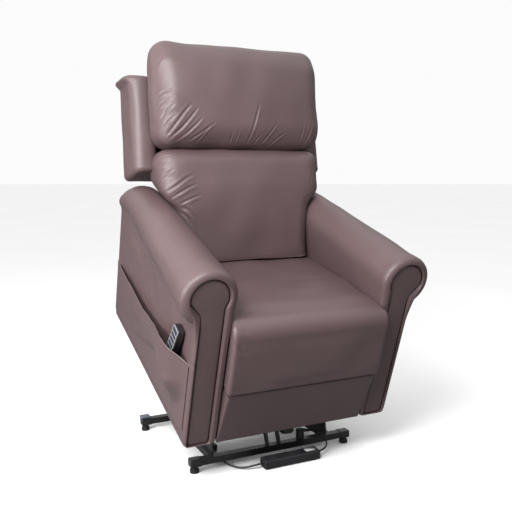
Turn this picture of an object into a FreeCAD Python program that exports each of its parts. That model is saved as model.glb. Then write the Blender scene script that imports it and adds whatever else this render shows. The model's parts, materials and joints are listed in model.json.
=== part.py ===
import FreeCAD, Part
import math
import os

# Lift recliner chair, millimetres.  X is the viewer's right, Y runs to the rear, Z is up.
# The base stands on z = 0.  The chair is drawn upright, seated and closed, with its own origin on
# the front bottom edge between the arms, and is then tipped forward to the raised rest pose.

# ---- driving dimensions -------------------------------------------------------------------------
SHIFT_Y = -188.13          # moves the whole part so that its footprint is centred on the origin
LIFT_TILT = 17.8          # forward tilt of the chair at rest, degrees
CHAIR_AT = (-126.0, 142.0)  # y, z of the chair's origin at rest

ARM_INNER = 261.0         # inner face of an arm, from the centre plane
ARM_OUTER = 369.0         # outer face of the side panel
ARM_DEPTH = 848.0
ROLL_X, ROLL_Z, ROLL_R = 334.0, 500.0, 86.0   # rolled top of the arm, at its front
ROLL_REAR_R = 64.0        # the roll tapers to this radius at the rear, level along its top
FRONT_R = 58.0            # inset panel on the front of the arm
STEM = (286.0, 356.0)     # inset panel below the roll
GROOVE = 0.8
INSET_DEPTH = 14.0        # recess in the front of the arm for its panel
SOFT_GAP = 0.8            # between padded pieces that move against each other

SEAT_HALF = 256.0
SEAT_TOP = 388.0          # at the foot of the lumbar cushion
SEAT_PROFILE = [(585, 374), (458, 383), (343, 398), (159, 419)]  # y, z of its rising top
SEAT_UNDER = 262.0
SEAT_FRONT, SEAT_BACK = 48.0, 585.0

LEG_PIVOT = (0.0, 350.0)  # y, z of the leg rest hinge
LEG_ROLL_R = 45.0
PAD_BOTTOM = 198.0

BACK_PIVOT = (600.0, 120.0)
BACK_REF = (580.0, 300.0)  # where the back's own s (up) and t (rearward) axes start
BACK_LEAN = 24.5          # degrees from vertical
BACK_HALF = 310.0         # cushions above the arms
BACK_LOW_HALF = 243.0     # cushions between the arms
WING_HALF = 372.0

TUBE_R = 12.5
PIN_R = 5.0
PIN_GAP = 0.05            # radial clearance of a running pin

# lift linkage, y and z, at rest
LIFT_A = (34.0, 92.0)     # lift arm on the base
LIFT_C = (99.0, 120.0)    # guide link on the base
LIFT_B = (379.0, 52.0)    # lift arm on the chair, in the chair's own frame
LIFT_D = (591.0, 113.0)   # guide link on the chair, in the chair's own frame
ACT_E = (21.0, 99.0)      # lift actuator on the base
ACT_G = (281.0, 207.0)    # lift actuator's rod on the chair, in the chair's own frame
ACT_PLAY = 5.0            # free play of the rod's eye on its pin

FRONT_TUBE, REAR_TUBE = (110.0, 178.0), (560.0, 180.0)  # cross tubes of the chassis
CRANK_PIVOT = (150.0, 200.0)
CRANK_DROP = (12.0, -100.0)  # from a pivot to its moving pin, at rest
BACK_ACT_BASE = (351.0, 191.0)
BACK_LEVER_R, BACK_LEVER_ANGLE = 61.0, 298.0

# planes of the plates, from the centre plane outwards
LIFT_ARM_X = (180.0, 186.0)
CHASSIS_X = (191.0, 197.0)
GUIDE_X = (202.0, 208.0)
CRANK_X = (212.0, 217.0)
COUPLER_X = (219.0, 224.0)
LEG_BRACKET_X = (226.0, 231.0)
HINGE_PLATE_X = (236.0, 242.0)
BASE_PLATE_X = (214.0, 220.0)

HANDSET_TOP = (-370.5, 96.0, 366.0)  # top of its inner face
HANDSET_LEAN = 9.0        # degrees, top towards the front
HANDSET_ROLL = 9.0        # degrees, top towards the arm
HANDSET = (48.0, 140.0, 20.0)  # width, length, thickness
KEYS = 5

CORD_R = 3.0

nodes = {}


# ---- plain solids -------------------------------------------------------------------------------
def box(x, y, z):
    """Box between two x values, two y values and two z values."""
    size = [abs(b - a) for a, b in (x, y, z)]
    return Part.makeBox(*size, FreeCAD.Vector(min(x), min(y), min(z)))


def rounded(x, y, z, radius):
    solid = box(x, y, z)
    return solid.makeFillet(radius, solid.Edges)


def rod(start, end, radius):
    a, b = FreeCAD.Vector(*start), FreeCAD.Vector(*end)
    return Part.makeCylinder(radius, a.distanceToPoint(b), a, b.sub(a))


def rod_x(x, at, radius):
    return rod((x[0], *at), (x[1], *at), radius)


def pipe_x(x, at, radius, wall):
    return rod_x(x, at, radius).cut(rod_x((x[0] - 1, x[1] + 1), at, radius - wall))


def joined(shapes):
    first, *rest = shapes
    return first.multiFuse(rest).removeSplitter() if rest else first


def mirrored(shape):
    return shape.mirror(FreeCAD.Vector(0, 0, 0), FreeCAD.Vector(1, 0, 0))


def both(shape):
    return Part.makeCompound([shape, mirrored(shape)])


def turned(vector, degrees):
    a = math.radians(degrees)
    return (vector[0] * math.cos(a) - vector[1] * math.sin(a),
            vector[0] * math.sin(a) + vector[1] * math.cos(a))


def plus(p, q, factor=1.0):
    return (p[0] + q[0] * factor, p[1] + q[1] * factor)


def plate(x, circles):
    """Flat plate of thickness x: the outline runs round the circles (y, z, radius), listed
    anticlockwise as seen with y to the right and z up."""
    edges, ends = [], []
    for (y0, z0, r0), (y1, z1, r1) in zip(circles, circles[1:] + circles[:1]):
        span = math.hypot(y1 - y0, z1 - z0)
        angle = math.atan2(z1 - z0, y1 - y0) - math.pi / 2 + math.asin((r0 - r1) / span)
        off = (math.cos(angle), math.sin(angle))
        ends.append((plus((y0, z0), off, r0), plus((y1, z1), off, r1), angle))
    for i, (start, end, angle) in enumerate(ends):
        after, _, next_angle = ends[(i + 1) % len(ends)]
        edges.append(Part.LineSegment(point(x[0], start), point(x[0], end)).toShape())
        y, z, r = circles[(i + 1) % len(circles)]
        sweep = (next_angle - angle) % (2 * math.pi)
        middle = plus((y, z), (math.cos(angle + sweep / 2), math.sin(angle + sweep / 2)), r)
        edges.append(Part.Arc(point(x[0], end), point(x[0], middle), point(x[0], after)).toShape())
    face = Part.Face(Part.Wire(Part.__sortEdges__(edges)))
    return face.extrude(FreeCAD.Vector(x[1] - x[0], 0, 0))


def point(x, at):
    return FreeCAD.Vector(x, *at)


def bar(x, a, b, radius, hole=PIN_R + PIN_GAP):
    """Flat link between two pins, with a hole for each."""
    link = plate(x, [(*a, radius), (*b, radius)])
    wide = (x[0] - 1, x[1] + 1)
    return link.cut(Part.makeCompound([rod_x(wide, a, hole), rod_x(wide, b, hole)]))


def side_shape(x, points):
    """Prism along x from an outline of (y, z) points; a point given as (mid, end) is an arc."""
    edges, last = [], points[0]
    for item in points[1:] + points[:1]:
        if isinstance(item[0], tuple):
            middle, end = item
            edges.append(Part.Arc(point(x[0], last), point(x[0], middle), point(x[0], end)).toShape())
        else:
            end = item
            edges.append(Part.LineSegment(point(x[0], last), point(x[0], end)).toShape())
        last = end
    return Part.Face(Part.Wire(edges)).extrude(FreeCAD.Vector(x[1] - x[0], 0, 0))


# ---- frames -------------------------------------------------------------------------------------
def tipped(shape):
    """Place a solid drawn in the chair's frame at the raised rest pose."""
    out = shape.copy()
    out.rotate(FreeCAD.Vector(0, 0, 0), FreeCAD.Vector(1, 0, 0), LIFT_TILT)
    out.translate(FreeCAD.Vector(0, *CHAIR_AT))
    return out


def tipped_at(at):
    return plus(CHAIR_AT, turned(at, LIFT_TILT))


def leaned(shape):
    """Place a solid drawn in the back's frame (x, t rearward, s up) in the chair's frame."""
    out = shape.copy()
    out.rotate(FreeCAD.Vector(0, 0, 0), FreeCAD.Vector(1, 0, 0), -BACK_LEAN)
    out.translate(FreeCAD.Vector(0, *BACK_REF))
    return out


def base_node(name, shape):
    nodes[name] = shape


def chair_node(name, shape):
    nodes[name] = tipped(shape)


def back_node(name, shape):
    nodes[name] = tipped(leaned(shape))


# ---- base ---------------------------------------------------------------------------------------
FRONT_BAR_Y, REAR_BAR_Y = (-13.0, 13.0), (411.0, 437.0)
BAR_Z = (23.0, 45.0)
FRONT_HALF, REAR_HALF = 303.0, 342.0
RAIL_X = (205.0, 230.0)


def hollow_bar(x, y, z, wall, along):
    inner = [(a + wall, b - wall) for a, b in (x, y, z)]
    inner[along] = ((x, y, z)[along][0] - 1, (x, y, z)[along][1] + 1)
    return box(x, y, z).cut(box(*inner))


def crossbar(half, y):
    block = 40.0
    middle = hollow_bar((-half + block, half - block), y, BAR_Z, 2.0, 0)
    ends = [rounded(x, (y[0] - 3, y[1] + 3), (BAR_Z[0] - 2, BAR_Z[1] + 2), 4.0)
            for x in ((-half, -half + block), (half - block, half))]
    return joined([middle] + ends)


def foot(x, y):
    return joined([rod((x, y, 0), (x, y, 12), 15.0), rod((x, y, 12), (x, y, BAR_Z[0] - 2), 11.0)])


def base():
    base_node("front_crossbar", crossbar(FRONT_HALF, FRONT_BAR_Y))
    base_node("rear_crossbar", crossbar(REAR_HALF, REAR_BAR_Y))
    base_node("side_rails", both(hollow_bar(RAIL_X, (FRONT_BAR_Y[1], REAR_BAR_Y[0]), BAR_Z, 2.0, 1)))
    base_node("feet", Part.makeCompound([both(foot(FRONT_HALF - 17, 0)),
                                         both(foot(REAR_HALF - 17, sum(REAR_BAR_Y) / 2))]))
    cap = rounded((REAR_HALF - 34, REAR_HALF + 3), (REAR_BAR_Y[0] - 1, REAR_BAR_Y[1] + 1),
                  (BAR_Z[1] + 2, BAR_Z[1] + 12), 4.5)
    base_node("rear_end_caps", both(cap))
    rail_top = BAR_Z[1]
    bracket = plate(BASE_PLATE_X, [(16, rail_top + 6, 6), (150, rail_top + 6, 6),
                                   (*LIFT_C, 18), (*LIFT_A, 18)])
    base_node("base_brackets", both(bracket))
    pins = [rod_x((LIFT_ARM_X[0] - 3, BASE_PLATE_X[0]), LIFT_A, PIN_R),
            rod_x((LIFT_ARM_X[0] - 7, LIFT_ARM_X[0] - 3), LIFT_A, 8.0),
            rod_x((GUIDE_X[0] - 2, BASE_PLATE_X[0]), LIFT_C, PIN_R)]
    base_node("base_pins", both(Part.makeCompound([joined(pins[:2]), pins[2]])))
    ear = plate((19, 25), [(-6, rail_top + 5, 5), (6, rail_top + 5, 5), (*ACT_E, 12)])
    ears = joined([ear, mirrored(ear), rod_x((-19, 19), ACT_E, PIN_R)])
    base_node("lift_actuator_clevis", ears)


# ---- lift linkage -------------------------------------------------------------------------------
def lift_linkage():
    b_at, d_at = tipped_at(LIFT_B), tipped_at(LIFT_D)
    tube_at = plus(LIFT_A, (b_at[0] - LIFT_A[0], b_at[1] - LIFT_A[1]), 0.54)
    arm_bar = bar(LIFT_ARM_X, LIFT_A, b_at, 15.0)
    tube = pipe_x((-LIFT_ARM_X[0], LIFT_ARM_X[0]), tube_at, TUBE_R, 2.0)
    base_node("lift_arms", joined([arm_bar, mirrored(arm_bar), tube]))
    base_node("guide_links", both(bar(GUIDE_X, LIFT_C, d_at, 13.0, PIN_R + 1.6)))
    eye_at = tipped_at(ACT_G)
    length = math.hypot(eye_at[0] - ACT_E[0], eye_at[1] - ACT_E[1])
    direction = ((eye_at[0] - ACT_E[0]) / length, (eye_at[1] - ACT_E[1]) / length)

    def along(s, x=0.0):
        return (x, *plus(ACT_E, direction, s))

    eye = rod_x((-16, 16), ACT_E, 11.0)
    tube = rod(along(40), along(222), 21.0)
    neck = rod(along(8), along(42), 12.0)
    gearbox = joined([rod(along(32), along(84), 25.0), rod(along(58), along(58, 62), 22.0),
                      rod(along(32, 62), along(84, 62), 27.0)])
    body = joined([eye, neck, tube, gearbox])
    body = body.cut(rod_x((-17, 17), ACT_E, PIN_R + PIN_GAP)).cut(rod(along(60), along(223), 11.0))
    base_node("lift_actuator_body", body)
    base_node("lift_motor", joined([rod(along(-26, 62), along(32, 62), 25.0),
                                    rod(along(-31, 62), along(-26, 62), 20.0)]))
    ring = rod_x((-13, 13), eye_at, 18.0).cut(rod_x((-14, 14), eye_at, PIN_R + ACT_PLAY))
    stem = rod(along(138), along(length - 17), 10.0)
    base_node("lift_rod", joined([ring, stem.cut(rod_x((-14, 14), eye_at, 17.9))]))


# ---- chassis ------------------------------------------------------------------------------------
RAIL_OUT = (242.0, 259.0)


def chassis():
    outline = [(*LIFT_B, 18), (*LIFT_D, 18), (612, 196, 12), (88, 186, 12)]
    side = plate(CHASSIS_X, outline)
    tubes = [FRONT_TUBE, REAR_TUBE]
    wide = (CHASSIS_X[0] - 1, CHASSIS_X[1] + 1)
    for at in tubes:
        side = side.cut(rod_x(wide, at, TUBE_R))
    side = side.cut(rod_x(wide, CRANK_PIVOT, TUBE_R + 0.1))
    side = joined([side, plate(CHASSIS_X, [(ACT_G[0] - 30, 190, 6), (ACT_G[0] + 30, 190, 6),
                                           (*ACT_G, 14)])])
    chair_node("chassis_plates", both(side))
    lift_shaft = joined([rod_x((16, CHASSIS_X[0]), ACT_G, TUBE_R), rod_x((-16, 16), ACT_G, PIN_R),
                         rod_x((-CHASSIS_X[0], -16), ACT_G, TUBE_R)])
    chair_node("cross_tubes", Part.makeCompound([lift_shaft] + [
        pipe_x((-CHASSIS_X[1] - 2, CHASSIS_X[1] + 2), at, TUBE_R, 2.0) for at in tubes]))
    pins = [rod_x((LIFT_ARM_X[0] - 2, CHASSIS_X[0]), LIFT_B, PIN_R),
            rod_x((LIFT_ARM_X[0] - 6, LIFT_ARM_X[0] - 2), LIFT_B, 8.0),
            rod_x((CHASSIS_X[1], GUIDE_X[1] + 1.5), LIFT_D, PIN_R)]
    chair_node("chassis_pins", both(Part.makeCompound([joined(pins[:2]), pins[2]])))
    rails = both(box(RAIL_OUT, (66, 560), (150, 238)))
    chair_node("seat_side_rails", rails)
    low, high = 209.0, 238.0
    chair_node("seat_end_rails", Part.makeCompound([
        box((-205, 205), (48, 68), (low, high)), box((-235, 235), (560, 582), (low, high))]))
    chair_node("chassis_hangers", both(joined([
        box((CHASSIS_X[1], RAIL_OUT[0]), (y, y + 30), (225, 229)).fuse(
            box((CHASSIS_X[1], CHASSIS_X[1] + 4), (y, y + 30), (188, 229)))
        for y in (210.0, 480.0)])))
    deck = box((-SEAT_HALF, SEAT_HALF), (48, 580), (high, high + 8))
    slats = [box((x - 16, x + 16), (60, 570), (high + 8, SEAT_UNDER)) for x in range(-200, 201, 80)]
    chair_node("seat_deck", joined([deck] + slats))


# ---- seat ---------------------------------------------------------------------------------------
def seat():
    outline = [(SEAT_FRONT, SEAT_UNDER), (SEAT_BACK, SEAT_UNDER)] + SEAT_PROFILE
    outline += [((84, 427), (60, 420)), (SEAT_FRONT, 400)]
    chair_node("seat_cushion", side_shape((-SEAT_HALF, SEAT_HALF), outline))


# ---- arms ---------------------------------------------------------------------------------------
REAR_ARC = ((775.0, 570.0), (836.0, 533.0))


def stadium(y, radius, stem, bottom):
    """Keyhole shape of an arm seen from the front: a round roll over a straight stem."""
    roll = rod((ROLL_X, y[0], ROLL_Z), (ROLL_X, y[1], ROLL_Z), radius)
    return roll.fuse(box(stem, y, (bottom, ROLL_Z)))


def arm():
    narrowing = (ROLL_R - ROLL_REAR_R) / ARM_DEPTH
    way = FreeCAD.Vector(-narrowing, 1, narrowing)
    over = 10.0  # the cone starts and ends beyond the arm, which the side outline then trims
    start = FreeCAD.Vector(ROLL_X, 0, ROLL_Z) - way * over
    roll = Part.makeCone(ROLL_R + narrowing * over, ROLL_REAR_R - narrowing * over,
                         way.Length * (ARM_DEPTH + 2 * over), start, way)
    profile = joined([roll, box((ARM_INNER, ARM_OUTER), (0, ARM_DEPTH), (0, ROLL_Z))])
    side = side_shape((250, 430), [(0, 0), (0, 588), (690, 588), REAR_ARC, (ARM_DEPTH, 492),
                                   (ARM_DEPTH, 0)])
    shape = profile.common(side)
    inset = stadium((-1, INSET_DEPTH), FRONT_R + GROOVE, (STEM[0] - GROOVE, STEM[1] + GROOVE), -1)
    return shape.cut(inset)


def arms():
    right = arm()
    front = stadium((3, INSET_DEPTH), FRONT_R, STEM, 1)
    for name, change in (("right", lambda s: s), ("left", mirrored)):
        chair_node(f"arm_{name}", change(right))
        chair_node(f"arm_front_{name}", change(front))
    chair_node("rear_skirt", box((-ARM_INNER, ARM_INNER), (834, 848), (2, 232)))
    chair_node("rear_stretcher", box((-ARM_INNER, ARM_INNER), (812, 834), (4, 70)))


# ---- side pocket and handset --------------------------------------------------------------------
POCKET_Z = (100.0, 278.0)
POCKET_WALL = 4.0
REST_Z = (200.0, 222.0)      # the ledge on the side panel that the handset stands on
POCKET_PLAN = [(-369, 48), (-400, 60), (-418.5, 84), (-418.5, 156), (-394, 300), (-386, 700),
               (-369, 806)]


def plan_prism(points, z):
    wire = Part.makePolygon([FreeCAD.Vector(x, y, z[0]) for x, y in points + points[:1]])
    return Part.Face(wire).extrude(FreeCAD.Vector(0, 0, z[1] - z[0]))


def pocket():
    wall = POCKET_WALL
    middle = (POCKET_PLAN[0][1] + POCKET_PLAN[-1][1]) / 2
    inner = [(x + wall, y + wall * (1 if y < middle else -1)) for x, y in POCKET_PLAN]
    hollow = plan_prism(inner, (POCKET_Z[0] + wall, POCKET_Z[1] + 1))
    chair_node("side_pocket", plan_prism(POCKET_PLAN, POCKET_Z).cut(hollow))
    chair_node("handset_rest", box((-413, -ARM_OUTER), (92, 146), REST_Z))


def handset():
    """Drawn upright, top at the origin, inner face on x = 0, then leaned, rolled and placed."""
    width, length, thick = HANDSET
    face_x = -thick

    def placed(shape):
        out = shape.copy()
        out.rotate(FreeCAD.Vector(0, 0, 0), FreeCAD.Vector(1, 0, 0), HANDSET_LEAN)
        out.rotate(FreeCAD.Vector(0, 0, 0), FreeCAD.Vector(0, 1, 0), HANDSET_ROLL)
        out.translate(FreeCAD.Vector(*HANDSET_TOP))
        return out

    def along_x(edge):
        return abs(edge.Vertexes[0].X - edge.Vertexes[-1].X) > 0.1

    case = box((0, face_x + 1.5), (-width / 2, width / 2), (-length, 0))
    case = case.makeFillet(9.0, [e for e in case.Edges if along_x(e)])
    face = box((face_x + 1.5, face_x), (-width / 2 + 3, width / 2 - 3), (-96, -3))
    face = face.makeFillet(6.0, [e for e in face.Edges if along_x(e)])
    pitch, slot, half = 15.0, 0.5, 17.0
    for i in range(KEYS):
        tall = 12.0 if i == 0 else 9.5
        top = -8.0 if i == 0 else -11.0 - i * pitch
        key = box((face_x - 1.2, face_x + 4.0), (-half, half), (top - tall, top))
        key = key.makeFillet(1.0, [e for e in key.Edges if max(v.X for v in e.Vertexes) < face_x])
        well = box((face_x - 3, face_x + 6.2), (-half - slot, half + slot),
                   (top - tall - slot, top + slot))
        ends = [(face_x + 1.4, 0, top - tall - 2), (face_x + 1.4, 0, top + 2)]
        key = key.fuse(rod(*ends, 1.0))
        bearing = rod(*ends, 1.0 + PIN_GAP)
        face, case = face.cut(well).cut(bearing), case.cut(well).cut(bearing)
        chair_node(f"handset_key_{i + 1}", placed(key))
    chair_node("handset_case", placed(case))
    chair_node("handset_face", placed(face))


# ---- leg rest -----------------------------------------------------------------------------------
def leg_rest():
    bracket_low = plus(LEG_PIVOT, CRANK_DROP)
    hinge = joined([plate(HINGE_PLATE_X, [(24, 210, 8), (84, 175, 8), (84, 222, 8), (24, 224, 8)]),
                    plate(HINGE_PLATE_X, [(24, 216, 9), (*LEG_PIVOT, 12)]),
                    rod_x((LEG_BRACKET_X[0] - 1, HINGE_PLATE_X[0]), LEG_PIVOT, PIN_R)])
    chair_node("leg_hinge_plates", both(hinge))
    swing = plate(LEG_BRACKET_X, [(16, 190, 6), (*bracket_low, 11), (*LEG_PIVOT, 13)])
    wide = (LEG_BRACKET_X[0] - 1, LEG_BRACKET_X[1] + 1)
    swing = swing.cut(rod_x(wide, LEG_PIVOT, PIN_R + PIN_GAP))
    stud = rod_x((COUPLER_X[0] - 1, LEG_BRACKET_X[0]), bracket_low, PIN_R)
    chair_node("leg_brackets", both(joined([swing, stud])))
    half, front, rear = LEG_BRACKET_X[0], -44.0, 8.0
    board = box((-half, half), (rear, rear + 12), (10, 300))
    for x in (-1, 1):
        board = board.cut(rod_x(sorted((x * 216, x * 227)), bracket_low, 25.0))
    chair_node("leg_board", board)
    roll = rod_x((-216, 216), LEG_PIVOT, LEG_ROLL_R - 1)
    low_edge = [(front, PAD_BOTTOM + 18), ((front + 2, PAD_BOTTOM + 4), (-34, PAD_BOTTOM))]
    middle = side_shape((-216, 216), [(rear, PAD_BOTTOM), (rear, 300), (-9, 345), (front, 350)]
                        + low_edge)
    sides = side_shape((-252, 252), [(-15, PAD_BOTTOM), (-15, 350), (front, 350)] + low_edge)
    chair_node("leg_pad", joined([middle, sides, roll]))
    lower = side_shape((-253, 253), [(rear, 1), (0, 1), (-38, PAD_BOTTOM - 6),
                                     (rear, PAD_BOTTOM - 6)])
    chair_node("leg_lower_panel", lower)
    crank_pin = plus(CRANK_PIVOT, CRANK_DROP)
    crank = plate(CRANK_X, [(*crank_pin, 11), (*CRANK_PIVOT, 20)])
    stud = rod_x((CRANK_X[1], COUPLER_X[1] + 1), crank_pin, PIN_R)
    crank = joined([crank, stud])
    tube = pipe_x((-CRANK_X[0], CRANK_X[0]), CRANK_PIVOT, TUBE_R, 2.5)
    chair_node("leg_crankshaft", joined([crank, mirrored(crank), tube]))
    chair_node("leg_couplers", both(bar(COUPLER_X, bracket_low, crank_pin, 10.0)))


def leg_motor():
    """Gear motor whose hollow output carries the torque tube; it hangs on the front cross tube."""
    x = (-130.0, -96.0)
    motor_at = (192.0, 166.0)
    wide = (x[0] - 1, x[1] + 1)
    gearbox = joined([plate(x, [(*FRONT_TUBE, 17), (*CRANK_PIVOT, 30)]),
                      plate(x, [(*motor_at, 18), (*CRANK_PIVOT, 30)])])
    gearbox = gearbox.cut(rod_x(wide, CRANK_PIVOT, TUBE_R + 0.1))
    gearbox = gearbox.cut(rod_x(wide, FRONT_TUBE, TUBE_R))
    chair_node("leg_motor", joined([gearbox, rod_x((x[1], -34), motor_at, 17.0)]))


# ---- back ---------------------------------------------------------------------------------------
RAIL_T = (8.0, 36.0)
BACK_RAIL_S = (60.0, 340.0, 620.0)


def in_back(at):
    """A point of the chair's frame in the back's own (t, s)."""
    return turned((at[0] - BACK_REF[0], at[1] - BACK_REF[1]), BACK_LEAN)


def back():
    pivot = in_back(BACK_PIVOT)
    arm_x = (226.0, 232.0)
    hole = rod_x((arm_x[0] - 1, arm_x[1] + 1), pivot, PIN_R + PIN_GAP)
    post = joined([plate(arm_x, [(34, 60, 12), (34, 640, 12), (20, 640, 12), (20, 60, 12)]),
                   plate(arm_x, [(*pivot, 16), (34, 120, 12), (20, 120, 12)])])
    back_node("back_frame_sides", both(post.cut(hole)))
    rails = [box((-arm_x[0], arm_x[0]), RAIL_T, (s - 20, s + 20)) for s in BACK_RAIL_S]
    back_node("back_frame_rails", Part.makeCompound(rails))
    ears = plate(HINGE_PLATE_X, [(*BACK_PIVOT, 14), (590, 225, 8), (545, 225, 10)])
    chair_node("back_hinge_plates", both(joined([
        ears, rod_x((arm_x[0] - 1, HINGE_PLATE_X[0]), BACK_PIVOT, PIN_R)])))
    shell = side_shape((-WING_HALF, WING_HALF), [(-52, 372), (116, 345), (106, 660), (118, 690),
                                                 ((124, 706), (110, 712)), (-30, 700)])
    shell = shell.cut(box((-WING_HALF + 60, WING_HALF - 60), (-60, 40), (300, 720)))
    shell = shell.cut(box((-arm_x[1] - 1, arm_x[1] + 1), (-60, 47), (300, 720)))
    back_node("back_shell", shell)
    panel = side_shape((-BACK_LOW_HALF, BACK_LOW_HALF), [(47, 40), (50, 40), (84, 340), (47, 340)])
    post_slot = box((arm_x[0] - 1, arm_x[1] + 1), (46, 80), (38, 135))
    back_node("back_lower_panel", panel.cut(both(post_slot)))
    low = side_shape((-BACK_LOW_HALF, BACK_LOW_HALF), [
        (6, -20), (6, 412), (-158, 412), (-163, 300), (-150, 60), (-142, -60)])
    high = side_shape((-BACK_HALF, BACK_HALF), [
        (6, 326), (6, 412), (-158, 412), (-163, 259), (-80, 300)])
    lumbar = leaned(joined([low, high]))
    lumbar = lumbar.cut(box((-300, 300), (300, 700), (200, SEAT_TOP + SOFT_GAP)))
    chair_node("lumbar_cushion", lumbar)
    head = side_shape((-BACK_HALF, BACK_HALF), [
        (-20, 425), (-20, 700), ((-45, 762), (-112, 786)), ((-158, 764), (-178, 700)),
        (-182, 500), ((-172, 444), (-140, 425))])
    back_node("head_cushion", head)


def back_actuator():
    """Linear actuator of the back, beside the lift actuator; its rod pushes a lever on the back."""
    x = 120.0
    pin = plus(BACK_PIVOT, (BACK_LEVER_R * math.cos(math.radians(BACK_LEVER_ANGLE)),
                            BACK_LEVER_R * math.sin(math.radians(BACK_LEVER_ANGLE))))
    length = math.hypot(pin[0] - BACK_ACT_BASE[0], pin[1] - BACK_ACT_BASE[1])
    way = ((pin[0] - BACK_ACT_BASE[0]) / length, (pin[1] - BACK_ACT_BASE[1]) / length)

    def along(s):
        return (x, *plus(BACK_ACT_BASE, way, s))

    wide = (x - 17, x + 17)
    tube = rod(along(14), along(190), 19.0).cut(rod(along(60), along(191), 8.5))
    body = joined([rod_x((x - 10, x + 10), BACK_ACT_BASE, 13.0), tube])
    chair_node("back_actuator_body", body.cut(rod_x(wide, BACK_ACT_BASE, PIN_R + PIN_GAP)))
    ring = rod_x((x - 8, x + 8), pin, 13.0).cut(rod_x(wide, pin, PIN_R + 2.2))
    stem = rod(along(110), along(length - 12), 7.5).cut(rod_x(wide, pin, 12.9))
    chair_node("back_rod", joined([ring, stem]))
    clevis = [plate((x + a, x + a + 5), [(*BACK_ACT_BASE, 12), (ACT_G[0] + 18, 222, 8), (*ACT_G, 15)])
              for a in (-18, 13)]
    clevis.append(rod_x((x - 13, x + 13), BACK_ACT_BASE, PIN_R))
    chair_node("back_actuator_clevis", joined(clevis).cut(rod_x((0, 190), ACT_G, TUBE_R)))
    low = in_back(pin)
    pivot = in_back(BACK_PIVOT)
    levers = []
    for a in (-16, 11):
        lever_x = (x + a, x + a + 5)
        levers += [plate(lever_x, [(*low, 11), (*pivot, 15)]),
                   plate(lever_x, [(*pivot, 15), (34, 60, 8), (16, 60, 8)])]
    levers.append(rod_x((x - 11, x + 11), low, PIN_R))
    wide = (x - 17, x + 17)
    rail = box(wide, RAIL_T, (BACK_RAIL_S[0] - 20, BACK_RAIL_S[0] + 20))
    panel = box(wide, (46.5, 80), (38, 100))
    back_node("back_levers", joined(levers).cut(rail).cut(panel))


# ---- power supply and its leads -----------------------------------------------------------------
SUPPLY_X, SUPPLY_Y, SUPPLY_Z = (-74.0, 135.0), (-94.0, -50.0), (3.0, 33.0)


def lead(points, radius):
    """Round lead through the points: straight runs joined by tangent arcs."""
    route = [FreeCAD.Vector(*p) for p in points]
    edges, at = [], route[0]
    for before, here, after in zip(route, route[1:], route[2:]):
        into, out = here.sub(before), after.sub(here)
        turn = into.getAngle(out)
        bend = 0.45 * min(into.Length, out.Length)
        print(f"lead radius {bend / math.tan(turn / 2):.0f}")
        into.normalize()
        out.normalize()
        start, end = here - into * bend, here + out * bend
        to_centre = (out - into).normalize()
        offset = bend / math.tan(turn / 2) * (1 / math.cos(turn / 2) - 1)
        middle = here + to_centre * offset
        edges.append(Part.LineSegment(at, start).toShape())
        edges.append(Part.Arc(start, middle, end).toShape())
        at = end
    edges.append(Part.LineSegment(at, route[-1]).toShape())
    wire = Part.Wire(edges)
    circle = Part.Wire(Part.makeCircle(radius, route[0], route[1] - route[0]))
    print(f"lead length {wire.Length:.0f}")
    return wire.makePipeShell([circle], True, False)


LEAD_LEFT = [(-74, -72, 18), (-100, -72, 17), (-126, -63, 11), (-147, -45, 6), (-161, -21, 5),
             (-174, 2, 8), (-184, 25, 19), (-190, 50, 27)]
LEAD_RIGHT = [(135, -72, 20), (160, -71, 22), (181, -58, 30), (190, -36, 42), (184, -13, 54),
              (166, 0, 64), (142, 2, 68)]


def gland(start, toward, length):
    """Tapered strain relief that the end of a lead runs into, in line with its last run."""
    a, b = FreeCAD.Vector(*start), FreeCAD.Vector(*toward)
    way = b.sub(a).normalize()
    return Part.makeCone(4.4, 7.0, length, b, way)


def leads():
    base_node("lead_left", lead(LEAD_LEFT, CORD_R))
    base_node("lead_right", lead(LEAD_RIGHT, CORD_R))
    left_box = rounded((-RAIL_X[0], -RAIL_X[0] + 30), (72, 122), BAR_Z, 3.0)
    right_box = rounded((96, 118), (-10, 12), (BAR_Z[1], 80), 3.0)
    base_node("connector_boxes", Part.makeCompound([
        left_box.fuse(gland(*LEAD_LEFT[-2:], 24)), right_box.fuse(gland(*LEAD_RIGHT[-2:], 26))]))


def supply():
    body = rounded(SUPPLY_X, SUPPLY_Y, SUPPLY_Z, 5.0)
    bumps = [rod((x, y, 0), (x, y, 5), 6.0) for x in (-56, 117) for y in (-84, -60)]
    base_node("power_supply", joined([body] + bumps))


# ---- build --------------------------------------------------------------------------------------
base()
lift_linkage()
chassis()
seat()
arms()
pocket()
handset()
leg_rest()
leg_motor()
back()
back_actuator()
supply()
leads()

os.makedirs("parts", exist_ok=True)
whole = Part.makeCompound(list(nodes.values())).BoundBox
print("box", [round(v, 2) for v in (whole.XMin, whole.XMax, whole.YMin, whole.YMax, whole.ZMin,
                                    whole.ZMax)])
for name, shape in nodes.items():
    placed = shape.copy()
    placed.translate(FreeCAD.Vector(0, SHIFT_Y, 0))
    if not placed.isValid() or placed.Volume < 1:
        print("bad solid", name, placed.isValid(), placed.Volume)
    placed.exportStep(f"parts/{name}.step")
print(len(nodes), "nodes")
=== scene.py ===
import json
import math

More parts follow.
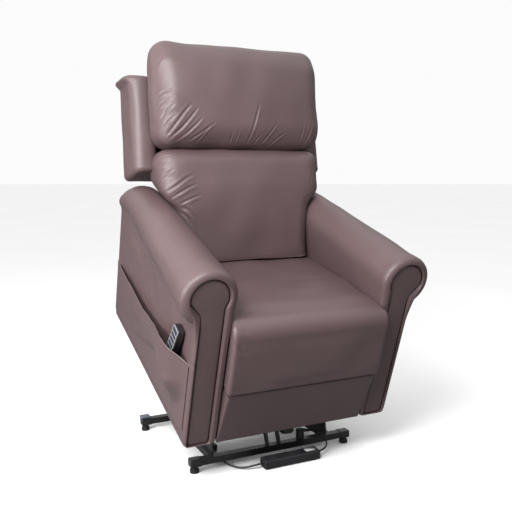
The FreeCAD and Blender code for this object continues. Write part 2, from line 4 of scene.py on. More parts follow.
import bmesh
import bpy
import numpy as np
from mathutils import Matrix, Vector


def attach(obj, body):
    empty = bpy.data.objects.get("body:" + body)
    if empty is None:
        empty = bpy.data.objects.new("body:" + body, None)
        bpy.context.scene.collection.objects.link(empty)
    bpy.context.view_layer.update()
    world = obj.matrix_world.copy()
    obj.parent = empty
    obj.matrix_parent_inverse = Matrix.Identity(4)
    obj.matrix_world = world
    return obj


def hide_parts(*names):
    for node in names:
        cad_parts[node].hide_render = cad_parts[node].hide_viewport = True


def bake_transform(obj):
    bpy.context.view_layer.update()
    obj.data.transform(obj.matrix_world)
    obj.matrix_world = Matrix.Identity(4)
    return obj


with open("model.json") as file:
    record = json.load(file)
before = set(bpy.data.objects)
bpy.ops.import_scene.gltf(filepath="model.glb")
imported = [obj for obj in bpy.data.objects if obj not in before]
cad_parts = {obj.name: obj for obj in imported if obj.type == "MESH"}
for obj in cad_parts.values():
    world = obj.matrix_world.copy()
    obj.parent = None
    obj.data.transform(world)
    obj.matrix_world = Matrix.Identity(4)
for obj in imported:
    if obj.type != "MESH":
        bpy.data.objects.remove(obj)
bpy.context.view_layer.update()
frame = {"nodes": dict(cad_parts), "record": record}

# Lift recliner chair.  The soft pieces are drawn in millimetres in the chair's own frame (x right,
# y to the rear, z up, origin on the front bottom edge) or in the back's frame (x, t to the rear,
# s up), and then placed in metres in the model's frame at the raised rest pose.
LIFT_TILT = math.radians(17.8)
BASE_SHIFT = -188.13  # from y of the base, on its front bar, to y of the model
CHAIR_AT = (-126.0 + BASE_SHIFT, 142.0)
BACK_AT = (580.0, 300.0)
BACK_LEAN = math.radians(24.5)
rng = np.random.default_rng(7)


# ---- frames -------------------------------------------------------------------------------------
def from_back(p):
    """(x, t, s) millimetres of the back to (x, y, z) millimetres of the chair."""
    p = np.asarray(p, float)
    c, s = math.cos(BACK_LEAN), math.sin(BACK_LEAN)
    return np.stack([p[..., 0], BACK_AT[0] + p[..., 2] * s + p[..., 1] * c,
                     BACK_AT[1] + p[..., 2] * c - p[..., 1] * s], -1)


def place(p):
    """(x, y, z) millimetres of the chair to metres of the model."""
    p = np.asarray(p, float)
    c, s = math.cos(LIFT_TILT), math.sin(LIFT_TILT)
    return np.stack([p[..., 0], p[..., 1] * c - p[..., 2] * s + CHAIR_AT[0],
                     p[..., 1] * s + p[..., 2] * c + CHAIR_AT[1]], -1) / 1000


def unplace(w):
    """Metres of the model to millimetres of the chair."""
    w = np.asarray(w, float) * 1000
    c, s = math.cos(LIFT_TILT), math.sin(LIFT_TILT)
    y, z = w[..., 1] - CHAIR_AT[0], w[..., 2] - CHAIR_AT[1]
    return np.stack([w[..., 0], y * c + z * s, -y * s + z * c], -1)


def to_back(p):
    """(x, y, z) millimetres of the chair to (x, t, s) millimetres of the back."""
    c, s = math.cos(BACK_LEAN), math.sin(BACK_LEAN)
    y, z = p[..., 1] - BACK_AT[0], p[..., 2] - BACK_AT[1]
    return np.stack([p[..., 0], y * c - z * s, y * s + z * c], -1)


# ---- numbers ------------------------------------------------------------------------------------
def step(x, a, b):
    """Smooth step from 0 at a to 1 at b."""
    t = np.clip((np.asarray(x, float) - a) / (b - a), 0, 1)
    return t * t * (3 - 2 * t)


def make_noise(waves=28):
    """Band-limited smooth noise of about unit size, over points in units of its own wavelength."""
    way = rng.normal(size=(waves, 3))
    way *= (2 * math.pi * rng.uniform(0.6, 1.5, waves) / np.linalg.norm(way, axis=1))[:, None]
    phase = rng.uniform(0, 2 * math.pi, waves)
    return lambda p: np.sin(p @ way.T + phase).sum(-1) / math.sqrt(waves / 2)


soft_noise = make_noise()


def along_line(p, line):
    """Distance from 2-D points to a polyline, how far along it, 0 to 1, the nearest place is, and
    on which side of it they lie."""
    line = np.asarray(line, float)
    lengths = np.linalg.norm(np.diff(line, axis=0), axis=1)
    best = np.full(len(p), 1e9)
    at = np.zeros(len(p))
    side = np.zeros(len(p))
    run = 0.0
    for a, b, length in zip(line, line[1:], lengths):
        d = (b - a) / length
        rel = p - a
        t = np.clip(rel @ d, 0, length)
        off = rel - t[:, None] * d
        dist = np.linalg.norm(off, axis=1)
        near = dist < best
        best = np.where(near, dist, best)
        at = np.where(near, (run + t) / lengths.sum(), at)
        side = np.where(near, np.sign(rel[:, 0] * d[1] - rel[:, 1] * d[0]), side)
        run += length
    return best, at, side


def fold(p, line, width, depth, ridge=0.7):
    """Height of a fold: a valley along the line between two ridges, dying out at its ends."""
    dist, at, side = along_line(p, line)
    past_end = (at <= 0) | (at >= 1)
    strength = np.where(past_end, 0, np.sin(math.pi * np.clip(at, 0, 1)) ** 0.7)
    ends = np.exp(-(np.where(past_end, dist, 0) / width) ** 2)
    signed = dist * side / width
    valley = -np.exp(-signed ** 2)
    ridges = ridge * (np.exp(-(signed - 1.9) ** 2 / 1.6) + 0.5 * np.exp(-(signed + 2.0) ** 2 / 1.6))
    return depth * strength * ends * (valley + ridges)


# ---- meshes -------------------------------------------------------------------------------------
def new_object(name, verts, faces):
    mesh = bpy.data.meshes.new(name)
    mesh.from_pydata([tuple(v) for v in verts], [], [tuple(int(i) for i in f) for f in faces])
    mesh.update()
    obj = bpy.data.objects.new(name, mesh)
    bpy.context.scene.collection.objects.link(obj)
    return obj


def tidy(obj, merge=1e-5):
    """Merge doubled points, turn the faces outwards and shade smooth."""
    bm = bmesh.new()
    bm.from_mesh(obj.data)
    bmesh.ops.remove_doubles(bm, verts=bm.verts, dist=merge)
    bmesh.ops.dissolve_degenerate(bm, dist=1e-6, edges=bm.edges)
    bmesh.ops.recalc_face_normals(bm, faces=bm.faces)
    for face in bm.faces:
        face.smooth = True
    bm.to_mesh(obj.data)
    bm.free()
    return obj


def lofted(name, rows, wrap=True, caps=True):
    """Skin over rows of points, (rows, points, 3) in millimetres of the chair; caps close the
    first and last rows."""
    rows = np.asarray(rows, float)
    n, m, _ = rows.shape
    index = np.arange(n * m).reshape(n, m)
    here, there = index[:-1], index[1:]
    if not wrap:
        quads = np.stack([here[:, :-1], there[:, :-1], there[:, 1:], here[:, 1:]], -1)
    else:
        quads = np.stack([here, there, np.roll(there, -1, 1), np.roll(here, -1, 1)], -1)
    faces = quads.reshape(-1, 4).tolist()
    if caps and wrap:
        faces += [index[0].tolist(), index[-1][::-1].tolist()]
    return tidy(new_object(name, place(rows.reshape(-1, 3)), faces))


def points_of(obj):
    co = np.empty(len(obj.data.vertices) * 3)
    obj.data.vertices.foreach_get("co", co)
    return co.reshape(-1, 3)


def normals_of(obj):
    out = np.empty(len(obj.data.vertices) * 3)
    obj.data.vertices.foreach_get("normal", out)
    return out.reshape(-1, 3)


def set_points(obj, co):
    obj.data.vertices.foreach_set("co", np.ascontiguousarray(co, float).ravel())
    obj.data.update()


def push(obj, height):
    """Move the points along their normals by heights in millimetres."""
    set_points(obj, points_of(obj) + normals_of(obj) * np.asarray(height)[:, None] / 1000)


def apply_modifiers(obj):
    graph = bpy.context.evaluated_depsgraph_get()
    mesh = bpy.data.meshes.new_from_object(obj.evaluated_get(graph))
    old = obj.data
    obj.modifiers.clear()
    obj.data = mesh
    bpy.data.meshes.remove(old)
    for polygon in mesh.polygons:
        polygon.use_smooth = True


def modified(obj, kind, **settings):
    modifier = obj.modifiers.new(kind.lower(), kind)
    for key, value in settings.items():
        setattr(modifier, key, value)
    apply_modifiers(obj)
    return obj


def stuffed(obj, voxel=0.006, pressure=4.0, cap=0.02, frames=8, smooth=8):
    """Swell a closed pad with a cloth simulation, capped, and leave a smooth dense mesh."""
    modified(obj, "REMESH", mode="VOXEL", voxel_size=voxel, use_smooth_shade=True)
    start = points_of(obj)
    cloth = obj.modifiers.new("cloth", "CLOTH")
    settings = cloth.settings
    settings.quality = 5
    settings.mass = 0.3
    settings.tension_stiffness = 18
    settings.compression_stiffness = 12
    settings.shear_stiffness = 8
    settings.bending_stiffness = 0.6
    settings.use_pressure = True
    settings.uniform_pressure_force = pressure
    settings.effector_weights.gravity = 0
    scene = bpy.context.scene
    for number in range(1, frames + 1):
        scene.frame_set(number)
    apply_modifiers(obj)
    scene.frame_set(1)
    moved = points_of(obj) - start
    length = np.linalg.norm(moved, axis=1)
    scale = cap * np.tanh(length / cap) / np.maximum(length, 1e-9)
    set_points(obj, start + moved * scale[:, None])
    modified(obj, "SMOOTH", factor=0.5, iterations=smooth)
    modified(obj, "SUBSURF", levels=1, render_levels=1)
    return obj


# ---- materials ----------------------------------------------------------------------------------
# Sockets of a Mix node: its inputs A and B and its result, by what it mixes.
MIX_FLOAT = (2, 3, 0)
MIX_VECTOR = (4, 5, 1)
MIX_COLOUR = (6, 7, 2)


def noise_texture(tree, where, scale, detail, distortion=0.0):
    node = tree.nodes.new("ShaderNodeTexNoise")
    node.inputs["Scale"].default_value = scale
    node.inputs["Detail"].default_value = detail
    node.inputs["Distortion"].default_value = distortion
    tree.links.new(where, node.inputs["Vector"])
    return node


def map_range(tree, value, given, wanted):
    """Map Range node that takes the given (low, high) to the wanted (low, high)."""
    node = tree.nodes.new("ShaderNodeMapRange")
    for socket, number in zip(("From Min", "From Max", "To Min", "To Max"), (*given, *wanted)):
        node.inputs[socket].default_value = number
    tree.links.new(value, node.inputs["Value"])
    return node


def add_relief(tree, shader, height, strength, distance):
    """Bump the shader's normal by a height."""
    node = tree.nodes.new("ShaderNodeBump")
    node.inputs["Strength"].default_value = strength
    node.inputs["Distance"].default_value = distance
    tree.links.new(height, node.inputs["Height"])
    tree.links.new(node.outputs["Normal"], shader.inputs["Normal"])


def material(name, base, rough, bump_scale=None, bump=0.1, metallic=0.0, vary=0.08, coat=0.0,
             specular=0.5, detail_scale=6.0, smudge=0.05):
    """Principled material whose tone and roughness vary a little, with an optional fine grain."""
    mat = bpy.data.materials.new(name)
    mat.use_nodes = True
    tree = mat.node_tree
    nodes, links = tree.nodes, tree.links
    shader = nodes["Principled BSDF"]
    shader.inputs["Metallic"].default_value = metallic
    shader.inputs["Coat Weight"].default_value = coat
    shader.inputs["Coat Roughness"].default_value = 0.25
    shader.inputs["Specular IOR Level"].default_value = specular
    where = nodes.new("ShaderNodeTexCoord").outputs["Object"]
    cloud = noise_texture(tree, where, detail_scale, 4)
    tones = nodes.new("ShaderNodeValToRGB")
    low, high = tones.color_ramp.elements
    low.position, high.position = 0.35, 0.68
    low.color = (*[c * (1 - vary) for c in base], 1)
    high.color = (*[min(1, c * (1 + vary)) for c in base], 1)
    links.new(cloud.outputs["Fac"], tones.inputs["Fac"])
    links.new(tones.outputs["Color"], shader.inputs["Base Color"])
    roughness = map_range(tree, cloud.outputs["Fac"], (0.3, 0.7), (rough - smudge, rough + smudge))
    links.new(roughness.outputs["Result"], shader.inputs["Roughness"])
    if bump_scale:
        grain = noise_texture(tree, where, bump_scale, 5)
        add_relief(tree, shader, grain.outputs["Fac"], bump, 0.0006)
    return mat


def leather(name, base, rough=0.40, grain=0.35):
    """Semi-aniline leather: pebbled grain, fine creases, and a slight change of tone."""
    mat = material(name, base, rough, vary=0.05, detail_scale=3.2, smudge=0.04)
    tree = mat.node_tree
    nodes, links = tree.nodes, tree.links
    where = nodes.new("ShaderNodeTexCoord").outputs["Object"]
    bend = noise_texture(tree, where, 90, 2)
    mix = nodes.new("ShaderNodeMix")
    mix.data_type = "VECTOR"
    mix.inputs["Factor"].default_value = 0.006
    straight, bent, mixed = MIX_VECTOR
    links.new(where, mix.inputs[straight])
    links.new(bend.outputs["Color"], mix.inputs[bent])
    pebbles = nodes.new("ShaderNodeTexVoronoi")
    pebbles.feature = "DISTANCE_TO_EDGE"
    pebbles.inputs["Scale"].default_value = 620
    links.new(mix.outputs[mixed], pebbles.inputs["Vector"])
    dome = map_range(tree, pebbles.outputs["Distance"], (0.0, 0.14), (0.0, 1.0))
    dome.interpolation_type = "SMOOTHSTEP"
    creases = noise_texture(tree, where, 46, 6, 1.2)
    total = nodes.new("ShaderNodeMath")
    total.operation = "MULTIPLY_ADD"
    total.inputs[1].default_value = 0.5
    links.new(dome.outputs["Result"], total.inputs[0])
    links.new(creases.outputs["Fac"], total.inputs[2])
    add_relief(tree, nodes["Principled BSDF"], total.outputs["Value"], grain, 0.0005)
    return mat


HIDE = (0.103, 0.0665, 0.069)
LEATHER = leather("leather", HIDE)
UNDERCLOTH = material("undercloth", (0.025, 0.022, 0.022), 0.9, 1400, 0.5)
BLACK_STEEL = material("black_steel", (0.012, 0.012, 0.013), 0.32, 260, 0.12, vary=0.2, coat=0.3)
BRIGHT_STEEL = material("bright_steel", (0.55, 0.55, 0.56), 0.3, 500, 0.08, metallic=1.0)
BLACK_PLASTIC = material("black_plastic", (0.016, 0.016, 0.018), 0.42, 900, 0.15, vary=0.15)
CAP_PLASTIC = material("cap_plastic", (0.10, 0.11, 0.13), 0.38, 900, 0.1)
GREY_PLASTIC = material("grey_plastic", (0.05, 0.05, 0.055), 0.4, 900, 0.15)
CABLE = material("cable", (0.012, 0.012, 0.013), 0.45, 800, 0.1)
WOOD = material("wood", (0.42, 0.27, 0.15), 0.6, 60, 0.3, vary=0.2, detail_scale=14)
GLOSS_BLACK = material("gloss_black", (0.010, 0.010, 0.012), 0.14, 400, 0.03, coat=0.6)
SILVER = material("silver_paint", (0.60, 0.61, 0.64), 0.26, 900, 0.05, metallic=0.7)
KEY_DARK = material("key_dark", (0.022, 0.023, 0.035), 0.4, 900, 0.1)
LABEL = material("blank_label", (0.45, 0.45, 0.46), 0.4, 700, 0.05)

SLOT_MATERIALS = {
    "upholstery": LEATHER, "wood": WOOD, "black_steel": BLACK_STEEL, "bright_steel": BRIGHT_STEEL,
    "black_plastic": BLACK_PLASTIC, "lead_cover": CABLE, "actuator_grey": GREY_PLASTIC,
    "handset_black": GLOSS_BLACK, "handset_silver": SILVER, "handset_keys": KEY_DARK,
}


def paint(obj, mat):
    obj.data.materials.clear()
    obj.data.materials.append(mat)


def dress_nodes():
    """Give every carried-over node the finish of its record slot."""
    slots = {part["node"]: part["material_slot"] for part in frame["record"]["subparts"]}
    for name, obj in frame["nodes"].items():
        mat = SLOT_MATERIALS.get(slots.get(name), BLACK_STEEL)
        if name == "rear_end_caps":
            mat = CAP_PLASTIC
        if name == "seat_deck":
            mat = UNDERCLOTH
        for material_slot in obj.material_slots:
            material_slot.material = mat
        if not obj.material_slots:
            obj.data.materials.append(mat)


def finished(obj, body, *nodes, mat=LEATHER, slot="upholstery"):
    """Paint a piece, hide the CAD nodes it stands for, and let it ride its body."""
    paint(obj, mat)
    if nodes:
        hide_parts(*nodes)
    if body:
        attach(obj, body)
    return obj


# ---- camera, light, floor -----------------------------------------------------------------------
CAMERA_AT = (-1.004, -2.148, 0.965)
CAMERA_TURN, CAMERA_DOWN = math.radians(25.63), math.radians(7.035)
CAMERA_LENS = 47.11
SKY_LOW, SKY_HIGH, SKY_SEEN = 0.1, 1.38, 0.97  # strength at the horizon, overhead, to the camera
FLOOR_BOUNCE = 0.2  # what the floor gives back to everything but the camera


def camera():
    data = bpy.data.cameras.new("camera")
    data.sensor_width = 36.0
    data.lens = CAMERA_LENS
    data.clip_start, data.clip_end = 0.05, 60
    cam = bpy.data.objects.new("camera", data)
    bpy.context.scene.collection.objects.link(cam)
    look = Vector((math.sin(CAMERA_TURN) * math.cos(CAMERA_DOWN),
                   math.cos(CAMERA_TURN) * math.cos(CAMERA_DOWN), -math.sin(CAMERA_DOWN)))
    cam.location = CAMERA_AT
    cam.rotation_mode = "QUATERNION"
    cam.rotation_quaternion = look.to_track_quat("-Z", "Y")
    bpy.context.scene.camera = cam


def area(name, at, target, size, power):
    data = bpy.data.lights.new(name, "AREA")
    data.shape = "RECTANGLE"
    data.size, data.size_y = size
    data.energy = power
    light = bpy.data.objects.new(name, data)
    bpy.context.scene.collection.objects.link(light)
    light.location = at
    light.rotation_mode = "QUATERNION"
    light.rotation_quaternion = (Vector(target) - Vector(at)).to_track_quat("-Z", "Y")


def studio():
    floor = new_object("floor", [(-60, -60, 0), (60, -60, 0), (60, 60, 0), (-60, 60, 0)],
                       [(0, 1, 2, 3)])
    mat = material("floor", (0.96, 0.96, 0.96), 0.8, 20, 0.02, vary=0.01, detail_scale=0.8,
                   specular=0.1)
    nodes, links = mat.node_tree.nodes, mat.node_tree.links
    shader = nodes["Principled BSDF"]
    pale = shader.inputs["Base Color"].links[0].from_socket
    bounce = nodes.new("ShaderNodeMix")
    bounce.data_type = "RGBA"
    dim, bright, mixed = MIX_COLOUR
    links.new(nodes.new("ShaderNodeLightPath").outputs["Is Camera Ray"], bounce.inputs["Factor"])
    bounce.inputs[dim].default_value = (FLOOR_BOUNCE, FLOOR_BOUNCE, FLOOR_BOUNCE, 1)
    links.new(pale, bounce.inputs[bright])
    links.new(bounce.outputs[mixed], shader.inputs["Base Color"])
    paint(floor, mat)
    world = bpy.data.worlds.new("studio")
    world.use_nodes = True
    nodes, links = world.node_tree.nodes, world.node_tree.links
    background = nodes["Background"]
    background.inputs["Color"].default_value = (1, 1, 1, 1)
    way = nodes.new("ShaderNodeSeparateXYZ")
    links.new(nodes.new("ShaderNodeTexCoord").outputs["Generated"], way.inputs["Vector"])
    sky = map_range(world.node_tree, way.outputs["Z"], (0.0, 1.0), (SKY_LOW, SKY_HIGH))
    pick = nodes.new("ShaderNodeMix")
    links.new(nodes.new("ShaderNodeLightPath").outputs["Is Camera Ray"], pick.inputs["Factor"])
    lit, seen, mixed = MIX_FLOAT
    links.new(sky.outputs["Result"], pick.inputs[lit])
    pick.inputs[seen].default_value = SKY_SEEN
    links.new(pick.outputs[mixed], background.inputs["Strength"])
    bpy.context.scene.world = world
    bpy.context.scene.view_settings.view_transform = "Standard"
    area("key", (-2.2, -0.75, 1.02), (0, 0, 0.85), (1.0, 1.0), 54)
    area("high", (-1.4, -1.5, 2.15), (0, 0, 1.1), (0.9, 0.9), 70)
    area("rim", (-2.6, 1.4, 1.9), (0, 0.2, 0.9), (0.9, 1.8), 12)


# ---- cords --------------------------------------------------------------------------------------
LEAD_LEFT = [(-74, -72, 18), (-100, -72, 17), (-126, -63, 11), (-147, -45, 6), (-161, -21, 5),
             (-174, 2, 8), (-184, 25, 19), (-190, 50, 27)]
LEAD_RIGHT = [(135, -72, 20), (160, -71, 22), (181, -58, 30), (190, -36, 42), (184, -13, 54),
              (166, 0, 64), (142, 2, 68)]
LEAD_RADIUS = 0.003  # metres


def lead(name, points):
    """Thin cable along points in millimetres of the base."""
    curve = bpy.data.curves.new(name, "CURVE")
    curve.dimensions = "3D"
    curve.bevel_depth = LEAD_RADIUS
    curve.bevel_resolution = 4
    curve.use_fill_caps = True
    spline = curve.splines.new("NURBS")
    spline.points.add(len(points) - 1)
    for target, (x, y, z) in zip(spline.points, points):
        target.co = (x / 1000, (y + BASE_SHIFT) / 1000, z / 1000, 1)
    spline.order_u = 3
    spline.use_endpoint_u = True
    spline.resolution_u = 12
    obj = bpy.data.objects.new(name, curve)
    bpy.context.scene.collection.objects.link(obj)
    finished(obj, "base", name[:-6], mat=CABLE, slot="lead_cover")


# ---- back cushions ------------------------------------------------------------------------------
def rounded_end(depth, radius):
    """How far a rounded end has pulled in, for points depth in from the end."""
    inside = np.clip(radius - depth, 0, radius)
    return radius - np.sqrt(np.maximum(radius ** 2 - inside ** 2, 0))


def pad_rows(profile, half, radius, centre, sizes, columns=41):
    """Rows across x of a closed (t, s) profile whose ends are rounded towards its centre."""
    profile = np.asarray(profile, float)
    inner = np.linspace(-half + radius, half - radius, columns)
    turn = np.linspace(0, math.pi / 2, 9)[1:]
    edge = half - radius + radius * np.sin(turn)
    xs = np.concatenate([-edge[::-1], inner, edge])
    rows = []
    for x in xs:
        pulled = rounded_end(half - abs(x), radius)
        scale = 1 - np.minimum(pulled / np.asarray(sizes), 0.97)
        flat = np.asarray(centre) + (profile - centre) * scale
        rows.append(np.column_stack([np.full(len(flat), x), flat]))
    return np.asarray(rows)


def arc(centre, radius, start, end, count):
    angles = np.radians(np.linspace(start, end, count))
    return [(centre[0] + radius * math.cos(a), centre[1] + radius * math.sin(a)) for a in angles]


def rounded_profile(corners, count=10):
    """Closed outline through corners (t, s, radius), each rounded; anticlockwise or clockwise."""
    out = []
    n = len(corners)
    for i, (x, y, r) in enumerate(corners):
        here = np.array([x, y], float)
        before = np.array(corners[i - 1][:2], float) - here
        after = np.array(corners[(i + 1) % n][:2], float) - here
        before /= np.linalg.norm(before)
        after /= np.linalg.norm(after)
        half_angle = math.acos(np.clip(before @ after, -1, 1)) / 2
        reach = r / math.tan(half_angle)
        a, b = here + before * reach, here + after * reach
        for t in np.linspace(0, 1, count):
            out.append((1 - t) ** 2 * a + 2 * t * (1 - t) * here + t ** 2 * b)
    return np.asarray(out)


def resampled(outline, spacing=0, count=0):
    """Closed outline with points a spacing apart, or a number of evenly spaced points."""
    closed = np.vstack([outline, outline[:1]])
    run = np.concatenate([[0], np.cumsum(np.linalg.norm(np.diff(closed, axis=0), axis=1))])
    at = np.linspace(0, run[-1], count or int(run[-1] / spacing), endpoint=False)
    return np.stack([np.interp(at, run, closed[:, k]) for k in range(closed.shape[1])], -1)


HEAD_FOLDS = [
    ([(-292, 466), (-262, 506), (-232, 544), (-205, 574)], 4.0, 3.1),
    ([(-284, 457), (-240, 494), (-205, 534), (-182, 562)], 3.7, 3.1),
    ([(-258, 452), (-222, 477), (-190, 506), (-168, 529)], 3.4, 2.8),
    ([(-215, 452), (-180, 474), (-148, 496), (-122, 514)], 3.1, 2.5),
    ([(-186, 448), (-168, 472), (-144, 498)], 2.8, 2.0),
    ([(-318, 559), (-298, 580), (-270, 594)], 3.7, 1.7),
    ([(-322, 590), (-296, 612), (-262, 622)], 3.7, 1.6),
    ([(-310, 514), (-288, 549), (-262, 574)], 3.7, 1.6),
    ([(-306, 484), (-284, 514), (-262, 536)], 3.1, 1.6),
    ([(-316, 682), (-302, 719), (-282, 740)], 4.3, 1.0),
    ([(2, 444), (24, 514), (36, 554), (46, 588)], 3.7, 2.2),
    ([(60, 446), (88, 484), (112, 516)], 3.1, 2.1),
    ([(96, 444), (124, 469), (152, 490)], 2.8, 1.9),
    ([(30, 442), (44, 466), (60, 484)], 2.5, 1.4),
    ([(-62, 444), (-58, 484)], 2.8, 1.5),
    ([(-40, 446), (-32, 496)], 2.5, 1.2),
    ([(214, 452), (222, 489), (226, 520)], 3.1, 1.9),
    ([(240, 454), (256, 494), (264, 526)], 3.1, 1.9),
    ([(268, 470), (280, 504), (286, 530)], 3.1, 1.4),
]

LUMBAR_FOLDS = [
    ([(-322, 358), (-302, 380), (-282, 392)], 3.6, 1.6),
    ([(-320, 320), (-290, 344), (-268, 358)], 3.6, 2.1),
    ([(-300, 278), (-262, 302), (-224, 328), (-200, 338)], 4.3, 2.8),
    ([(-282, 260), (-250, 278), (-218, 296), (-190, 306)], 4.0, 2.8),
    ([(-256, 238), (-228, 250), (-200, 262), (-176, 268)], 3.6, 2.5),
    ([(-250, 232), (-222, 218), (-200, 192), (-186, 158)], 4.3, 2.4),
    ([(-246, 214), (-226, 192), (-214, 166)], 3.3, 1.6),
    ([(-300, 398), (-270, 406)], 3.3, 1.1),
    ([(262, 268), (244, 258), (222, 248)], 2.6, 1.3),
    ([(256, 220), (240, 210), (218, 198)], 2.6, 1.3),
    ([(256, 238), (236, 232)], 2.3, 1.1),
    ([(270, 356), (262, 326), (252, 302)], 3.3, 1.1),
]


def wrinkle(obj, folds, front):
    """Press the folds into the side of a back cushion that faces forward."""
    at = to_back(unplace(points_of(obj)))
    forward = step(-at[:, 1], -front - 45, -front + 10)
    flat = at[:, [0, 2]]
    height = np.zeros(len(flat))
    for line, width, depth in folds:
        height += fold(flat, line, width, depth)
    push(obj, height * forward)


HEAD_MIDDLE = 620  # along s


def head_cushion():
    profile = resampled(rounded_profile([
        (-24, 438, 26), (-26, 748, 44), (-66, 804, 42), (-140, 802, 52), (-176, 728, 72),
        (-182, 500, 62), (-164, 437, 40)]), 8)
    rows = pad_rows(profile, half=319, radius=60, centre=(-100, HEAD_MIDDLE), sizes=(78, 182))
    obj = lofted("head_pillow", from_back(rows))
    stuffed(obj, pressure=6.0, cap=0.004, smooth=10)
    flat = to_back(unplace(points_of(obj)))
    x, t, up = flat.T
    facing = step(-t, 100, 150)
    crown = np.clip(1 - (x / 326) ** 2, 0, 1)
    crown = crown * np.clip(1 - ((up - HEAD_MIDDLE) / 200) ** 2, 0, 1)
    height = 24 * facing * crown + 1.2 * soft_noise(flat / 150) * step(-t, 20, 120)
    push(obj, height)
    wrinkle(obj, HEAD_FOLDS, -165)
    finished(obj, "back", "head_cushion")


LUMBAR_FOOT, LUMBAR_TOP = -6, 434  # along s
SEAT_TOP, SEAT_PRESS = 396, 0.12  # the foot is pressed flat on the seat to this share of its depth


def lumbar_rows():
    """Rings across the cushion from its foot up; it widens over the arms."""
    rows = []
    for s in np.concatenate([np.linspace(LUMBAR_FOOT, 40, 8), np.linspace(56, 390, 42),
                             np.linspace(398, LUMBAR_TOP, 8)]):
        end = rounded_end(min(LUMBAR_TOP - s, s - LUMBAR_FOOT), 40)
        front = -np.interp(s, [-6, 60, 300, 420], [138, 146, 160, 158]) + end
        rear = 2 - end * 0.5
        ring = resampled(rounded_profile([
            (-300, rear, 18), (-300, front, 46), (300, front, 46), (300, rear, 18)]), count=160)
        x, t = ring[:, 0], ring[:, 1]
        wide_from = 326 + (t - 6) / -169 * -67
        wide = step(s, wide_from - 50, wide_from + 26)
        half = 254 + 8 * step(s, 120, 240) + 46 * wide - end * 0.8
        rows.append(np.column_stack([x / 300 * half, t, np.full(len(x), s)]))
    return np.asarray(rows)


def lumbar_cushion():
    obj = lofted("lumbar_pillow", from_back(lumbar_rows()))
    stuffed(obj, pressure=5.0, cap=0.004, smooth=9)
    co = unplace(points_of(obj))
    pressed = SEAT_TOP + (co[:, 2] - SEAT_TOP) * SEAT_PRESS
    co[:, 2] = np.where(co[:, 2] < SEAT_TOP, pressed, co[:, 2])
    set_points(obj, place(co))
    flat = to_back(co)
    crown = (1 - (flat[:, 0] / 300) ** 2) * np.sin(math.pi * np.clip(flat[:, 2] / 440, 0, 1) ** 1.6)
    push(obj, (14 * crown + 1.3 * soft_noise(flat / 160 + 5)) * step(-flat[:, 1], 20, 120))
    wrinkle(obj, LUMBAR_FOLDS, -150)
    finished(obj, "back", "lumbar_cushion")


# ---- seat and leg rest pad ----------------------------------------------------------------------
CHAISE_HALF, CHAISE_EDGE = 259.5, 11.0  # half width, and radius of the side edges
CHAISE_FOLDS = [
    ([(-254, 430), (-238, 414), (-216, 402)], 6.0, 2.2),
    ([(-254, 372), (-240, 352), (-222, 338)], 6.0, 2.0),
    ([(-246, 196), (-180, 192), (-100, 188)], 5.0, 1.0),
]


def chaise_outline():
    """Section (y, z) of the seat pad that rolls over the front edge and down the leg rest."""
    roll = arc((8.0, 378.0), 50.0, 88, 180, 24)
    lower = arc((-36.5, 206.0), 8.0, 180, 262, 8)
    points = [(578, 374), (540, 377), (458, 384), (343, 400), (249, 411), (159, 420), (77, 426)]
    points += roll + [(-43.0, 345.0), (-44.5, 290.0), (-44.5, 240.0)] + lower
    points += [(4, 201), (6.5, 206), (6.5, 296), (14, 318), (36, 336), (70, 342), (300, 342),
               (560, 338), (580, 344), (583, 360)]
    return np.asarray(points, float)


def chaise_pad():
    """One padded skin over the seat and the leg rest, bending where they meet."""
    outline = resampled(chaise_outline(), 4.5)
    centre_y = np.clip(outline[:, 0], -19, 560)
    middle = np.interp(outline[:, 0], [40, 560], [388, 362])
    centre_z = np.where(outline[:, 0] > 40, middle, np.clip(outline[:, 1], 228, 372))
    half, radius = CHAISE_HALF, CHAISE_EDGE
    turn = np.linspace(0, math.pi / 2, 8)[1:]
    edge = half - radius + radius * np.sin(turn)
    xs = np.concatenate([-edge[::-1], np.linspace(-half + radius, half - radius, 112), edge])
    rows = []
    for x in xs:
        pull = rounded_end(half - abs(x), radius)
        dy, dz = outline[:, 0] - centre_y, outline[:, 1] - centre_z
        length = np.maximum(np.hypot(dy, dz), 1e-6)
        keep = np.maximum(length - pull, length * 0.12) / length
        wider = 1 + 6.0 / half * step(-outline[:, 0], 6, 20)
        rows.append(np.column_stack([x * wider, centre_y + dy * keep, centre_z + dz * keep]))
    obj = lofted("chaise_pad", rows)
    co = unplace(points_of(obj))
    x, y, z = co.T
    across = 1 - (x / 256) ** 2
    top = step(z, 352, 370) * step(y, 20, 90) * (1 - step(y, 500, 575))
    front = step(-y, 26, 40) * step(z, 205, 250) * (1 - step(z, 330, 380))
    height = across * (5 * top + 2.5 * front)
    height += 1.1 * soft_noise(co / 170) * (top + front)
    height += fold(co[:, :2], [(40, 244), (150, 236), (282, 240)], 16, 1.6, 0.5) * top
    from_front = co[:, [0, 2]]
    facing = step(-y, 20, 36)
    for line, width, depth in CHAISE_FOLDS:
        height += fold(from_front, line, width, depth) * facing
    push(obj, height)
    finished(obj, None, "seat_cushion", "leg_pad")
    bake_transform(obj)


def seat_core():
    """Foam block under the seat pad, in its own cloth."""
    ring = resampled(rounded_profile([(62, 264, 10), (582, 264, 10), (582, 352, 14),
                                      (62, 350, 14)]), 14)
    xs = np.linspace(-246, 246, 30)
    rows = [np.column_stack([np.full(len(ring), x), ring]) for x in xs]
    obj = lofted("seat_core", rows)
    modified(obj, "BEVEL", width=0.006, segments=3, limit_method="ANGLE")
    flat = unplace(points_of(obj))
    push(obj, 0.8 * soft_noise(flat / 90))
    finished(obj, "chair")


